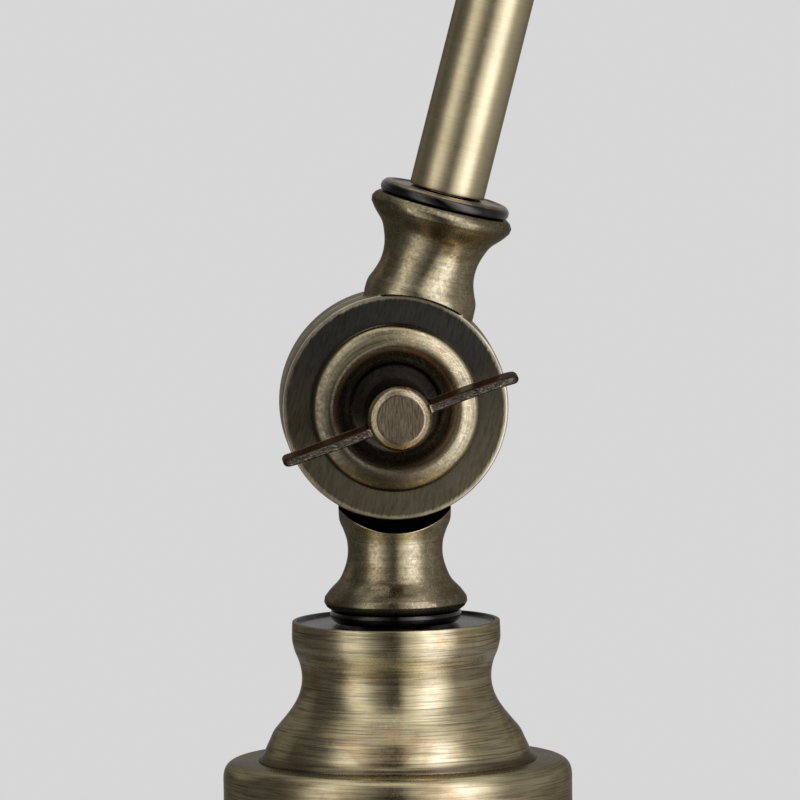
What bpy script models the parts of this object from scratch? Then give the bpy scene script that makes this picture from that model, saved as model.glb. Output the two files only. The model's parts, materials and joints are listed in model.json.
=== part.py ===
"""Pharmacy floor lamp: weighted round base, leaning pole and upper arm, joined by wing-screw knuckles.

Metres, +Z up. The lamp stands on the floor at z = 0 with the base's axis on Z.
Every knuckle turns about Y, with its wing screw on the -Y side.
Arm directions are angles measured from +Z towards +X.
"""

import math

import bmesh
import bpy
from mathutils import Matrix

MM = 0.001

# ---------------------------------------------------------------- dimensions
# Profiles are lists of (radius, height) in millimetres.

# base
PLATE_R, PLATE_LOW, PLATE_HIGH = 137.6, 2.2, 4.2
FELT_R, FELT_T = 133.0, 2.0
TIER_TOP = 42.0
GLAND_Z = 11.0
SCREW_CIRCLE, PLATE_SCREWS = 95.0, 3
BELL_H = 34.4

# knuckle castings at full size; the smaller knuckles scale them
DISC_R, DISC_T, HALF_GAP = 28.3, 9.5, 0.45
SADDLE_R, SADDLE_DROP = 21.6, 9.7
FOOT, SEAT = 51.3, 54.85
NECK = [(14.1, 26.0), (13.9, 29.0), (12.9, 31.5), (12.1, 34.0), (11.85, 36.5), (12.1, 39.0),
        (12.85, 41.5), (14.05, 44.0), (16.4, 46.5), (17.8, 48.6), (17.6, 50.3), (16.5, FOOT)]
SCREW_R, SCREW_HOLE_R = 3.7, 4.2
POCKET_IN, POCKET_OUT, POCKET_DEPTH = 7.0, 13.4, 0.56
LUG_R, LUG_CIRCLE, TRACK_HALF, TRACK_DEPTH = 1.7, 23.6, 2.05, 3.4
LUG_SPREAD, LUG_LOW, LUG_HIGH = 5.2, -3.1, 2.9
SPOTFACE_ROOM, SPOTFACE_DROP, DISC_LAP, DISC_BEVEL = 0.25, 0.37, 0.3, 0.6
WING_PATH = [(-29.0, -10.9), (-26.2, -10.2), (-20.2, -8.1), (-13.0, -5.6), (-6.0, -2.9),
             (6.0, 1.6), (13.0, 4.2), (19.0, 6.3), (25.5, 8.4), (29.6, 9.4)]
WING_T, WING_FRONT, WING_BACK, WING_REACH = 2.5, 37.9, 23.4, 29.6

# wiring passages, the same at every knuckle
WIRE_BORE, THREAD_BORE, THREAD_END = 4.2, 5.3, 38.0
NIPPLE_R, NIPPLE_BORE = 5.0, 3.2
WIRE_R, WIRE_SIDE, WIRE_END = 1.4, 2.1, 10.4

# tubes
POLE_R, ARM_R, TUBE_WALL, PLUG = 9.5, 8.0, 1.0, 14.0
POLE_SPAN, ARM_SPAN = 950.0, 420.0

# knuckle sizes, pose, and stops counted from the straightened arm
LOWER, MIDDLE, SHADE = 1.0, 0.9, 0.8
POLE_ANGLE, ARM_ANGLE, HEAD_ANGLE = 14.7, -50.0, -145.0
LOWER_STOPS, MIDDLE_STOPS, SHADE_STOPS = (-45, 45), (-117, 15), (-117, -15)
LOWER_LUG, MIDDLE_LUG, SHADE_LUG = 90, 62, 30

BELL_FOOT = TIER_TOP + 0.1
PIVOT_Z = BELL_FOOT + BELL_H + SEAT
CROWN = SEAT * SHADE + 0.1
SWITCH_Z = CROWN + 15.0

UP, FRONT = (0, 0, 0), (math.pi / 2, 0, 0)

# ------------------------------------------------------------------- helpers

for old in list(bpy.data.objects):
    bpy.data.objects.remove(old, do_unlink=True)

lamp = bpy.data.collections.new("pharmacy_floor_lamp")
cutters = bpy.data.collections.new("cutters")
for group in (lamp, cutters):
    bpy.context.scene.collection.children.link(group)


def material(name, color, metallic, roughness, transmission=0.0):
    mat = bpy.data.materials.new(name)
    mat.use_nodes = True
    shader = mat.node_tree.nodes["Principled BSDF"]
    shader.inputs["Base Color"].default_value = (*color, 1.0)
    shader.inputs["Metallic"].default_value = metallic
    shader.inputs["Roughness"].default_value = roughness
    shader.inputs["Transmission Weight"].default_value = transmission
    return mat


BRASS = material("antique_brass", (0.36, 0.28, 0.15), 1.0, 0.38)
DARK = material("dark_bronze", (0.16, 0.12, 0.08), 1.0, 0.35)
STEEL = material("steel", (0.55, 0.55, 0.55), 1.0, 0.4)
IRON = material("cast_iron", (0.1, 0.1, 0.1), 0.9, 0.7)
FELT = material("felt", (0.03, 0.05, 0.04), 0.0, 0.95)
FIBRE = material("fibre", (0.25, 0.08, 0.05), 0.0, 0.8)
PLASTIC = material("black_plastic", (0.02, 0.02, 0.02), 0.0, 0.5)
CERAMIC = material("ceramic", (0.85, 0.83, 0.78), 0.0, 0.4)
GLASS = material("frosted_glass", (0.95, 0.94, 0.9), 0.0, 0.35, 0.6)
WIRE = material("wire_sleeve", (0.45, 0.33, 0.12), 0.0, 0.6)


def link(name, data, mat=None, group=lamp):
    obj = bpy.data.objects.new(name, data)
    group.objects.link(obj)
    if mat:
        data.materials.append(mat)
    return obj


def place(obj, parent=None, at=(0, 0, 0), turn=UP):
    """Put obj under parent, at a position in millimetres."""
    obj.parent = parent
    obj.location = [v * MM for v in at]
    obj.rotation_euler = turn
    return obj


def turned(name, profile, steps, mat=None, group=lamp):
    """Solid turned about local Z from (radius, height) points in mm, listed up its outer side."""
    points = [(r * MM, 0.0, h * MM) for r, h in reversed(profile)]
    closed = profile[0][0] > 0
    count = len(points)
    edges = [(i, (i + 1) % count) for i in range(count if closed else count - 1)]
    mesh = bpy.data.meshes.new(name)
    mesh.from_pydata(points, edges, [])
    obj = link(name, mesh, mat, group)
    screw = obj.modifiers.new("Turn", "SCREW")
    screw.steps = screw.render_steps = steps
    screw.use_merge_vertices = True
    screw.merge_threshold = 0.00001
    screw.use_smooth_shade = True
    return obj


def cylinder(name, radius, low, high, steps, mat=None, group=lamp):
    mesh = bpy.data.meshes.new(name)
    bm = bmesh.new()
    middle = Matrix.Translation((0, 0, (low + high) / 2 * MM))
    bmesh.ops.create_cone(bm, cap_ends=True, segments=steps, radius1=radius * MM, radius2=radius * MM,
                          depth=(high - low) * MM, matrix=middle)
    bm.to_mesh(mesh)
    bm.free()
    return link(name, mesh, mat, group)


def box(name, low, high, group=lamp):
    mesh = bpy.data.meshes.new(name)
    bm = bmesh.new()
    bmesh.ops.create_cube(bm, size=1.0)
    for vert in bm.verts:
        vert.co = [(a + b) / 2 * MM + c * (b - a) * MM for a, b, c in zip(low, high, vert.co)]
    bm.to_mesh(mesh)
    bm.free()
    return link(name, mesh, None, group)


def plate_shape(name, outline, low, high, group=lamp):
    """Flat outline in local XY, filled and extruded from low to high, as a welded mesh."""
    curve = bpy.data.curves.new(name, "CURVE")
    curve.dimensions = "2D"
    curve.fill_mode = "BOTH"
    curve.extrude = (high - low) / 2 * MM
    spline = curve.splines.new("POLY")
    spline.points.add(len(outline) - 1)
    for point, (x, y) in zip(spline.points, outline):
        point.co = (x * MM, y * MM, 0, 1)
    spline.use_cyclic_u = True
    shape = bpy.data.objects.new(name, curve)
    bpy.context.scene.collection.objects.link(shape)
    mesh = bpy.data.meshes.new_from_object(shape.evaluated_get(bpy.context.evaluated_depsgraph_get()))
    bpy.data.objects.remove(shape, do_unlink=True)
    bm = bmesh.new()
    bm.from_mesh(mesh)
    bmesh.ops.remove_doubles(bm, verts=bm.verts, dist=0.00001)
    bmesh.ops.translate(bm, verts=bm.verts, vec=(0, 0, (high + low) / 2 * MM))
    bmesh.ops.recalc_face_normals(bm, faces=bm.faces)
    bm.to_mesh(mesh)
    bm.free()
    return link(name, mesh, None, group)


def hide_cutter(cutter, target):
    cutter.parent = target
    cutter.hide_render = True
    cutter.display_type = "WIRE"


def boolean(target, other, operation="DIFFERENCE"):
    hide_cutter(other, target)
    step = target.modifiers.new(operation.title(), "BOOLEAN")
    step.operation = operation
    step.object = other


def cut_all(target, label, others):
    """Cut several helper solids out of target in one exact step."""
    group = bpy.data.collections.new(f"{target.name}_{label}")
    cutters.children.link(group)
    for other in others:
        group.objects.link(other)
        hide_cutter(other, target)
    step = target.modifiers.new(label.title(), "BOOLEAN")
    step.operand_type = "COLLECTION"
    step.collection = group


def joint_frame(name, parent, height, angle):
    """Empty on a knuckle's axis; what it carries is modelled along its local +Z."""
    frame = bpy.data.objects.new(name, None)
    lamp.objects.link(frame)
    return place(frame, parent, (0, 0, height), (0, math.radians(angle), 0))


def scaled(profile, scale):
    return [(r * scale, h * scale) for r, h in profile]


def raised(profile, height):
    return [(r, h + height) for r, h in profile]


# ---------------------------------------------------------------------- base


def base():
    cylinder("felt_pad", FELT_R, 0, FELT_T, 36, FELT)
    plate = turned("bottom_plate", [(18, PLATE_LOW), (PLATE_R, PLATE_LOW), (PLATE_R, PLATE_HIGH),
                                    (18, PLATE_HIGH)], 32, STEEL)
    weight = turned("base_weight", [(14.0, 4.5), (130, 4.5), (130, 12.4), (118, 15.6), (62, 21), (34, 22.6),
                                    (30, 25.6), (30, 40), (5.5, 40), (5.5, 14), (14, 14)], 28, IRON)
    sinks, taps = [], []
    for n in range(PLATE_SCREWS):
        angle = math.radians(30 + 360 / PLATE_SCREWS * n)
        spot = (SCREW_CIRCLE * math.cos(angle), SCREW_CIRCLE * math.sin(angle), 0)
        screw = turned(f"plate_screw_{n + 1}",
                       [(0, 2.25), (4.3, 2.25), (2.4, 4.15), (2.4, 12.4), (0, 12.7)], 10, STEEL)
        sink = turned(f"screw_sink_{n}", [(0, 1.5), (5.4, 1.5), (2.75, 4.16), (2.75, 6), (0, 6)], 10,
                      group=cutters)
        tap = cylinder(f"screw_tap_{n}", 2.8, 1, 15.5, 10, group=cutters)
        for obj in (screw, sink, tap):
            place(obj, None, spot)
        sinks.append(sink)
        taps.append(tap)
    cut_all(plate, "sinks", sinks)
    cut_all(weight, "hollows", taps + [box("wire_channel", (-4, 8, 0), (4, 135, 13), cutters)])

    outer = [(140.0, 1.0), (140.0, 8.0), (138.0, 13.0), (132.0, 15.4), (116.0, 18.2), (85.0, 21.3),
             (52.0, 24.2), (45.7, 25.2), (43.7, 27.6), (43.7, 38.2), (43.2, 40.2), (41.9, 41.6),
             (40.0, TIER_TOP), (5.6, TIER_TOP)]
    inner = [(5.6, 40.4), (39.3, 40.4), (41.2, 39.7), (42.0, 37.6), (42.0, 27.2), (44.0, 23.8),
             (51.8, 22.6), (84.8, 19.7), (115.7, 16.6), (131.4, 13.8), (136.8, 11.6), (138.4, 7.8),
             (138.4, 1.0)]
    cover = turned("base_cover", outer + inner, 32, BRASS)
    gland_hole = cylinder("gland_hole", 6.2, -150, -120, 18, group=cutters)
    boolean(cover, place(gland_hole, None, (0, 0, GLAND_Z), FRONT))
    gland = turned("cord_gland", [(3.3, -141.9), (7.4, -141.9), (8.0, -141.2), (8.0, -140.3), (5.8, -140.3),
                                  (5.8, -134.6), (5.2, -134.0), (3.3, -134.0)], 14, PLASTIC)
    place(gland, None, (0, 0, GLAND_Z), FRONT)

    bell = [(34.9, 0), (33.4, 1.8), (32.0, 5.0), (30.8, 7.4), (28.8, 9.9), (26.7, 12.5), (25.2, 14.9),
            (24.1, 17.6), (23.7, 20.6), (24.1, 23.8), (25.4, 27.4), (26.05, 30.0), (26.0, 33.8),
            (25.5, BELL_H), (5.5, BELL_H), (5.5, 28.6), (20.4, 28.6), (20.4, 20.0), (22.0, 14.5), (30.2, 0)]
    turned("bell_collar", raised(bell, BELL_FOOT), 28, BRASS)
    nipple("base_nipple", None, 5.6, PIVOT_Z - THREAD_END - 0.5)
    turned("base_lock_nut", [(6.3, 6.4), (10.2, 6.4), (11, 7.2), (11, 12.9), (10.2, 13.7), (6.3, 13.7)], 6,
           STEEL)


# ------------------------------------------------------------------ knuckles


def arc(radius, start, end, count):
    """Points at angles from local Y towards X, in degrees."""
    angles = [math.radians(start + (end - start) * i / (count - 1)) for i in range(count)]
    return [(radius * math.sin(a), radius * math.cos(a)) for a in angles]


def casting(name, s, front, lug_angle, stops):
    """One knuckle half: neck along local +Z, its disc on the -Y (front) or +Y (rear) side."""
    fine = s == LOWER
    round_steps = 30 if fine else 20
    neck = NECK if fine else NECK[::2] + NECK[-1:]
    body = turned(name, [(0, 12 * s), (13.9 * s, 12 * s)] + scaled(neck, s) + [(0, FOOT * s)],
                  20 if fine else 14, BRASS)
    side = 1 if front else -1
    phase = 0.31 * 2 * math.pi / round_steps

    def across(label, radii, depths, steps=round_steps, up=0.0):
        """Helper solid turned about Y, up from the pivot; depths count outwards from the middle plane."""
        profile = [(r * s, side * d) for r, d in zip(radii, depths)]
        helper = turned(f"{name}_{label}", profile if front else profile[::-1], steps, group=cutters)
        return place(helper, None, (0, 0, up * s), (math.pi / 2, -phase, 0))

    thick = DISC_T * s
    shelf, inner_face = thick - SPOTFACE_DROP, HALF_GAP + DISC_LAP
    cut_all(body, "clearance", [
        across("spotface", (0, DISC_R + SPOTFACE_ROOM, DISC_R + SPOTFACE_ROOM, 0),
               (shelf, shelf, thick + 14, thick + 14)),
        across("saddle", (0, SADDLE_R, SADDLE_R, 0), (-24, -24, inner_face, inner_face), up=SADDLE_DROP)])
    boolean(body, across("disc", (0, DISC_R, DISC_R, DISC_R - DISC_BEVEL, 0),
                         (HALF_GAP, HALF_GAP, thick - DISC_BEVEL, thick, thick)), "UNION")
    body.modifiers.new("Triangulate", "TRIANGULATE")
    spin = (0, 0, phase)
    pocket_floor = thick * POCKET_DEPTH
    cuts = [place(cylinder(f"{name}_wire_bore", WIRE_BORE, 10.2 * s, FOOT * s + 5, 10, group=cutters),
                  None, (0, 0, 0), spin),
            place(cylinder(f"{name}_thread_bore", THREAD_BORE, THREAD_END * s, FOOT * s + 4, 12,
                           group=cutters), None, (0, 0, 0), spin),
            across("pocket", (POCKET_IN, POCKET_OUT, POCKET_OUT, POCKET_IN),
                   (-3, -3, pocket_floor, pocket_floor), 14),
            across("screw_hole", (0, SCREW_HOLE_R, SCREW_HOLE_R, 0), (-5, -5, thick + 9, thick + 9), 12)]
    radius = LUG_CIRCLE * s
    if front:
        first, last = lug_angle - stops[1] - LUG_SPREAD, lug_angle - stops[0] + LUG_SPREAD
        outline = arc(radius + TRACK_HALF * s, first, last, 11)
        outline += arc(radius - TRACK_HALF * s, last, first, 11)
        cuts.append(place(plate_shape(f"{name}_stop_track", outline, -2, TRACK_DEPTH, cutters), None,
                          (0, 0, 0), FRONT))
    else:
        lug = cylinder(f"{name}_lug", LUG_R * s, LUG_LOW, LUG_HIGH, 8, group=cutters)
        side_turn = math.radians(lug_angle - 180)
        spot = (radius * math.sin(side_turn), 0, radius * math.cos(side_turn))
        boolean(body, place(lug, None, spot, FRONT), "UNION")
    cut_all(body, "passages", cuts)
    return body


def wings(name, s):
    """Two thin blades lofted along a shallow S, narrowing towards rounded tips."""
    verts, faces = [], []
    last = len(WING_PATH) - 1
    for i, (x, z) in enumerate(WING_PATH):
        before, after = WING_PATH[max(i - 1, 0)], WING_PATH[min(i + 1, last)]
        dx, dz = after[0] - before[0], after[1] - before[1]
        reach = abs(x) / WING_REACH
        tip = i in (0, last)
        half = WING_T * (1.08 - 0.3 * reach) / 2 * (0.72 if tip else 1.0)
        nx, nz = -dz / math.hypot(dx, dz) * half, dx / math.hypot(dx, dz) * half
        inset = 2.4 if tip else 0.0
        front, back = WING_FRONT - inset, WING_BACK + inset
        corners = [(x - nx, z - nz, front), (x + nx, z + nz, front), (x + nx, z + nz, back),
                   (x - nx, z - nz, back)]
        verts += [(a * s * MM, b * s * MM, depth * s * MM) for a, b, depth in corners]
        if i:
            a, b = 4 * i - 4, 4 * i
            faces += [(a + k, a + (k + 1) % 4, b + (k + 1) % 4, b + k) for k in range(4)]
    faces += [(3, 2, 1, 0), tuple(4 * last + k for k in range(4))]
    mesh = bpy.data.meshes.new(name)
    mesh.from_pydata(verts, [], faces)
    bm = bmesh.new()
    bm.from_mesh(mesh)
    bmesh.ops.recalc_face_normals(bm, faces=bm.faces)
    bm.to_mesh(mesh)
    bm.free()
    return link(name, mesh, None, cutters)


def wing_screw(name, s):
    """Shank, round head and wings, turned about local Z, which points out of the knuckle's front."""
    shank = [(0, -19.0), (SCREW_R, -19.0), (SCREW_R, 12.9)]
    hub = [(6.6, 12.9), (8.1, 16.0), (8.1, 37.5), (7.5, 38.9), (6.0, 39.7), (0, 39.7)]
    body = turned(name, scaled(shank + hub, s), 20 if s == LOWER else 14, DARK)
    boolean(body, wings(f"{name}_wings", s), "UNION")
    return body


def knuckle(prefix, s, fixed, height, moving, lug_angle, stops):
    """Two half castings clamped by a wing screw, the fixed half hanging below the pivot."""
    pivot = (0, 0, height)
    place(casting(f"{prefix}_rear_half", s, False, lug_angle, stops), fixed, pivot, (0, math.pi, 0))
    place(casting(f"{prefix}_front_half", s, True, lug_angle, stops), moving)
    disc = turned(f"{prefix}_friction_disc", [(14.6 * s, -0.3), (20.6 * s, -0.3), (20.6 * s, 0.3),
                                              (14.6 * s, 0.3)], 16, FIBRE)
    place(disc, fixed, pivot, FRONT)
    face = DISC_T * s + 0.1
    ring = [(4.4, 0), (21.0, 0), (20.7, 1.6), (19.7, 3.2), (18.2, 4.3), (16.4, 4.7), (14.6, 4.2),
            (12.3, 2.2), (11.0, 1.1), (4.4, 1.1)]
    clamp = turned(f"{prefix}_clamp_ring", raised(scaled(ring, s), face), 24 if s == LOWER else 16, BRASS)
    place(clamp, moving, (0, 0, 0), FRONT)
    spring = [(4.2, 1.25), (7.4, 1.25), (7.4, 2.1), (4.2, 2.6)]
    washer = turned(f"{prefix}_spring_washer", raised(scaled(spring, s), face), 12, STEEL)
    place(washer, moving, (0, 0, 0), FRONT)
    place(wing_screw(f"{prefix}_wing_screw", s), fixed, pivot, FRONT)
    cap = [(4.1, 10.4), (0, 10.4), (0, 12.1), (5.2, 10.8), (8.0, 7.6), (9.0, 4.0), (9.0, 0), (4.1, 0)]
    shell = [(r * s, -h * s - DISC_T * s - 0.15) for r, h in cap[2:] + cap[:2]]
    nut = turned(f"{prefix}_cap_nut", shell, 14, DARK)
    place(nut, fixed, pivot, FRONT)


# ---------------------------------------------------- rings, tubes and wiring


def check_ring(name, s, parent, height, way):
    """Thin ring whose wide edge meets a casting's foot; way is 1 above the pivot and -1 below."""
    shape = [(THREAD_BORE / s, 51.45), (16.0, 51.45), (16.25, 52.0), (15.8, 53.7), (14.5, 54.7),
             (THREAD_BORE / s, 54.7)]
    ring = turned(name, scaled(shape, s), 20 if s == LOWER else 14, DARK)
    place(ring, parent, (0, 0, height), UP if way > 0 else (math.pi, 0, 0))


def nipple(name, parent, low, high):
    place(turned(name, [(NIPPLE_BORE, low), (NIPPLE_R, low), (NIPPLE_R, high), (NIPPLE_BORE, high)], 10,
                 STEEL), parent)


def tube(name, radius, parent, low, high):
    """Drawn tube with a threaded plug brazed into each end."""
    inside = radius - TUBE_WALL
    profile = [(THREAD_BORE, low), (radius - 0.3, low), (radius, low + 0.3), (radius, high - 0.3),
               (radius - 0.3, high), (THREAD_BORE, high), (THREAD_BORE, high - PLUG), (inside, high - PLUG),
               (inside, low + PLUG), (THREAD_BORE, low + PLUG)]
    place(turned(name, profile, 16, BRASS), parent)


def lead(name, parent, points):
    """Sleeved wire along a poly-line of points in millimetres."""
    curve = bpy.data.curves.new(name, "CURVE")
    curve.dimensions = "3D"
    curve.bevel_depth = WIRE_R * MM
    curve.bevel_resolution = 1
    curve.use_fill_caps = True
    spline = curve.splines.new("POLY")
    spline.points.add(len(points) - 1)
    for point, co in zip(spline.points, points):
        point.co = (*[v * MM for v in co], 1.0)
    place(link(name, curve, WIRE), parent)


def wire_out(s):
    """Route from a front half's pocket into its neck."""
    return [(0, -WIRE_SIDE, WIRE_END * s), (0, -WIRE_SIDE, 32 * s), (0, 0, THREAD_END * s)]


def wire_in(s, span):
    """Route from the neck below a knuckle at span into its rear half's pocket."""
    return [(0, 0, span - THREAD_END * s), (0, WIRE_SIDE, span - 32 * s),
            (0, WIRE_SIDE, span - WIRE_END * s)]


def joined_tube(prefix, radius, frame, span, s_foot, s_top):
    """Tube, its end rings, its nipples and its lead, between two knuckles."""
    check_ring(f"{prefix}_foot_ring", s_foot, frame, 0, 1)
    check_ring(f"{prefix}_top_ring", s_top, frame, span, -1)
    foot, top = SEAT * s_foot, span - SEAT * s_top
    tube(f"{prefix}_tube", radius, frame, foot + 0.1, top - 0.1)
    nipple(f"{prefix}_foot_nipple", frame, THREAD_END * s_foot + 0.5, foot + PLUG - 2)
    nipple(f"{prefix}_top_nipple", frame, top - PLUG + 2, span - THREAD_END * s_top - 0.5)
    lead(f"{prefix}_lead", frame, wire_out(s_foot) + wire_in(s_top, span))


# ---------------------------------------------------------------------- head


def head(frame):
    check_ring("shade_check_ring", SHADE, frame, 0, 1)
    nipple("head_nipple", frame, THREAD_END * SHADE + 0.5, CROWN + 8.5)

    outside = [(18.6, 0), (22.2, 1.4), (23.6, 5.0), (24.6, 52.0), (27.4, 61.0), (43.0, 74.0), (60.5, 89.0),
               (75.0, 111.0), (83.6, 132.0), (88.6, 147.0), (90.6, 148.4), (90.6, 149.9), (89.2, 150.6)]
    inside = [(87.4, 149.6), (82.5, 132.4), (74.0, 111.6), (59.8, 90.0), (42.4, 75.0), (26.3, 61.5),
              (23.5, 52.2), (22.5, 5.2), (18.3, 1.1)]
    profile = [(5.5, 1.1), (5.5, 0)] + outside + inside
    shade = place(turned("shade", raised(profile, CROWN), 28, BRASS), frame)
    shell = [(5.3, 1.4), (17.6, 1.4), (19.0, 2.8), (19.0, 53.0), (15.2, 53.0), (15.2, 6.0), (5.3, 6.0)]
    holder = place(turned("lampholder_shell", raised(shell, CROWN), 20, PLASTIC), frame)
    for target, radius, label in ((shade, 3.6, "switch_hole"), (holder, 2.6, "shaft_hole")):
        hole = cylinder(label, radius, 10, 35, 12, group=cutters)
        boolean(target, place(hole, None, (0, 0, SWITCH_Z), FRONT))

    ceramic = [(0, 23.6), (14.9, 23.6), (14.9, 28.0), (4.2, 28.0), (3.6, 29.6), (0, 29.6)]
    place(turned("socket_base", raised(ceramic, CROWN), 16, CERAMIC), frame)
    sleeve = [(14.0, 28.3), (14.8, 28.3), (14.8, 51.0), (14.0, 51.0)]
    place(turned("socket_sleeve", raised(sleeve, CROWN), 20, BRASS), frame)
    cap = [(0, 29.9), (4.4, 29.9), (6.0, 31.6), (12.6, 34.4), (13.4, 36.2), (13.4, 57.6), (12.6, 57.6),
           (12.6, 37.0), (0, 37.0)]
    place(turned("bulb_cap", raised(cap, CROWN), 16, STEEL), frame)
    globe = [(11.9, 40.0), (12.3, 40.0), (12.3, 57.9), (13.0, 57.9), (14.6, 62.5), (20.6, 76.0),
             (27.4, 88.0), (29.8, 100.0), (28.0, 114.0), (20.6, 126.0), (11.0, 131.6), (0, 133.4)]
    hollow = [(0, 132.2), (10.6, 130.5), (19.8, 125.2), (26.8, 113.6), (28.6, 100.0), (26.3, 88.6),
              (19.5, 76.6), (13.4, 62.9), (11.9, 58.2)]
    bulb = turned("bulb_glass", [*raised(hollow, CROWN), *raised(globe, CROWN)], 14, GLASS)
    place(bulb, frame)

    handle = [(0, -24.0), (2.1, -24.0), (2.1, -9.8), (6.0, -9.8), (6.6, -9.0), (7.0, -0.9), (6.2, 0),
              (0, 0)]
    place(turned("switch_knob", handle, 14, DARK), frame, (0, -35.0, SWITCH_Z), FRONT)
    lead("head_lead", frame,
         wire_out(SHADE) + [(0, 0, CROWN + 9.5), (0, 5, CROWN + 14), (0, 5, CROWN + 21)])


# ------------------------------------------------------------------ assembly

pole_frame = joint_frame("pole_frame", None, PIVOT_Z, POLE_ANGLE)
arm_frame = joint_frame("arm_frame", pole_frame, POLE_SPAN, ARM_ANGLE - POLE_ANGLE)
head_frame = joint_frame("head_frame", arm_frame, ARM_SPAN, HEAD_ANGLE - ARM_ANGLE)

base()
check_ring("bell_check_ring", LOWER, None, PIVOT_Z, -1)
lead("base_lead", None, [(0, 132.5, GLAND_Z), (0, 120, 9.2), (0, 21, 9.2), (0, 14.5, 4.4), (0, 3.5, 3.9),
                         (0, 0, 6.2), (0, 0, 10)] + wire_in(LOWER, PIVOT_Z))
knuckle("lower_knuckle", LOWER, None, PIVOT_Z, pole_frame, LOWER_LUG, LOWER_STOPS)
joined_tube("pole", POLE_R, pole_frame, POLE_SPAN, LOWER, MIDDLE)
knuckle("middle_knuckle", MIDDLE, pole_frame, POLE_SPAN, arm_frame, MIDDLE_LUG, MIDDLE_STOPS)
joined_tube("arm", ARM_R, arm_frame, ARM_SPAN, MIDDLE, SHADE)
knuckle("shade_knuckle", SHADE, arm_frame, ARM_SPAN, head_frame, SHADE_LUG, SHADE_STOPS)
head(head_frame)
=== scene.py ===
"""Looks of the pharmacy floor lamp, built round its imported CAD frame.

Profiles are (radius, height) or (radius, height, corner radius), turned about a piece's own Z. The
sizes of pieces are in millimetres. Finished shapes, the frame's places, the stage and the camera are in
metres, +Z up.
"""

import json
import math

import bpy
import numpy as np
from mathutils import Matrix, Vector


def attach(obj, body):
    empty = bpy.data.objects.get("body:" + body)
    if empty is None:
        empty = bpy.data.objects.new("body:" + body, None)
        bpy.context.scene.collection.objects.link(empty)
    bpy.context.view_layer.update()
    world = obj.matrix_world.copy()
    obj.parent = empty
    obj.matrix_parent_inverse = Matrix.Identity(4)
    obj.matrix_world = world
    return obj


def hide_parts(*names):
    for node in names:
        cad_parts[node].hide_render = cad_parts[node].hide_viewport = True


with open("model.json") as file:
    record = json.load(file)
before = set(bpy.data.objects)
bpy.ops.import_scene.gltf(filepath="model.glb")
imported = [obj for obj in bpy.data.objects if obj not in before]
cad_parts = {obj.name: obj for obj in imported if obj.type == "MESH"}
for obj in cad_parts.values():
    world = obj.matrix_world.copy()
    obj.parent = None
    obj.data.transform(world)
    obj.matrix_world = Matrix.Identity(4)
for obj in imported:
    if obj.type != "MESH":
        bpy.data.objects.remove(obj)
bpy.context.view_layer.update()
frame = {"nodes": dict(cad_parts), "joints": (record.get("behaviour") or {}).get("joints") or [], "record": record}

MM = 0.001
scene = bpy.context.scene
scene.view_settings.view_transform = "Standard"

# ------------------------------------------------------------------ places

pivots = {j["name"]: Vector(j["pos_m"]) for j in frame["joints"]}
P1, P2, P3 = pivots["lower_tilt"], pivots["middle_tilt"], pivots["shade_tilt"]


def lean(a, b):
    """Frame at a whose Z points to b, turned about Y only."""
    angle = math.atan2(b.x - a.x, b.z - a.z)
    return Matrix.Translation(a) @ Matrix.Rotation(angle, 4, "Y")


BASE = Matrix.Identity(4)
POLE = lean(P1, P2)
ARM = lean(P2, P3)
HEAD = lean(P3, pivots["switch_turn"])
FRONT = Matrix.Rotation(math.pi / 2, 4, "X")
FLIP = Matrix.Rotation(math.pi, 4, "Y")
LOWER, MIDDLE, SHADE = 1.0, 0.9, 0.8
POLE_SPAN, ARM_SPAN = (P2 - P1).length / MM, (P3 - P2).length / MM

# ------------------------------------------------------------------ shaders


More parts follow.
